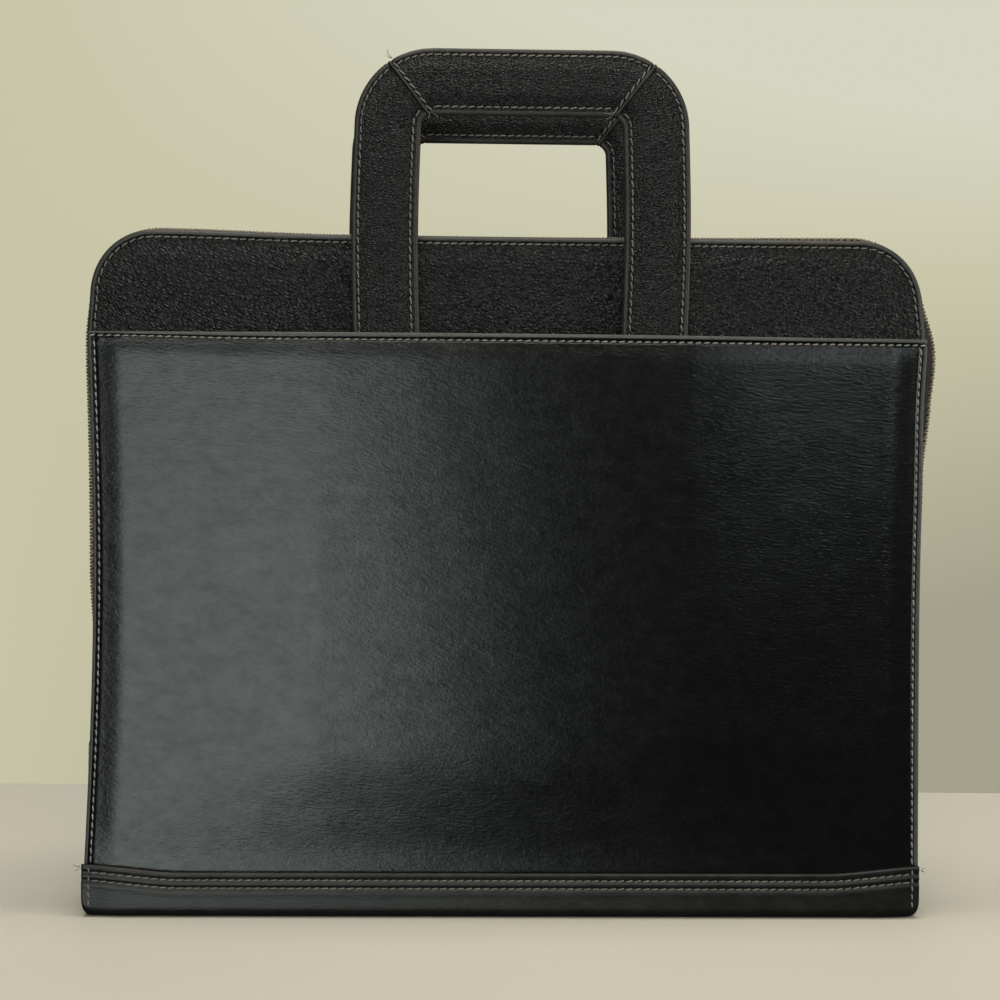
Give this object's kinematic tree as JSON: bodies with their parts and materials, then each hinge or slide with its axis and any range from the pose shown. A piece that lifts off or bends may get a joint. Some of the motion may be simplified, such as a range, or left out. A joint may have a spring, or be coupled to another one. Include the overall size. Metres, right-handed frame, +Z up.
{
  "type": "leather document case",
  "caption": "Zip-around leather document case standing on its spine, with a slip pocket over each padded cover and flat mitred carrying handles that rise out of the pockets.",
  "frame": {"origin": "middle of the spine's flat underside, on the surface that the case stands on", "axes": "+Z up, from the spine to the handles; -Y out of the front, +X to the right of someone who looks at the front"},
  "size_m": [0.3692, 0.0508, 0.3693],
  "materials": {
    "grained_leather": "pebbled black leather, satin",
    "smooth_leather": "smooth fine-grained black leather with a soft sheen",
    "band_leather": "smooth black leather, satin, worn at its lip",
    "handle_leather": "pebbled black leather over padding, satin",
    "welt_leather": "folded black leather, matte at its edges",
    "zip_tape": "black woven tape",
    "zip_coil": "dark brown nylon coil",
    "zip_metal": "gunmetal, satin"
  },
  "bodies": {
    "root": {"front_cover": "grained_leather", "back_cover": "grained_leather", "front_pocket": "smooth_leather", "back_pocket": "smooth_leather", "spine": "band_leather", "front_handle_top": "handle_leather", "front_handle_leg_left": "handle_leather", "front_handle_leg_right": "handle_leather", "front_handle_welt_left": "welt_leather", "front_handle_welt_right": "welt_leather", "rear_handle_top": "handle_leather", "rear_handle_leg_left": "handle_leather", "rear_handle_leg_right": "handle_leather", "rear_handle_welt_left": "welt_leather", "rear_handle_welt_right": "welt_leather", "zip_tape_front": "zip_tape", "zip_tape_back": "zip_tape", "zip_coil": "zip_coil", "zip_slider": "zip_metal"}
  },
  "joints": []
}
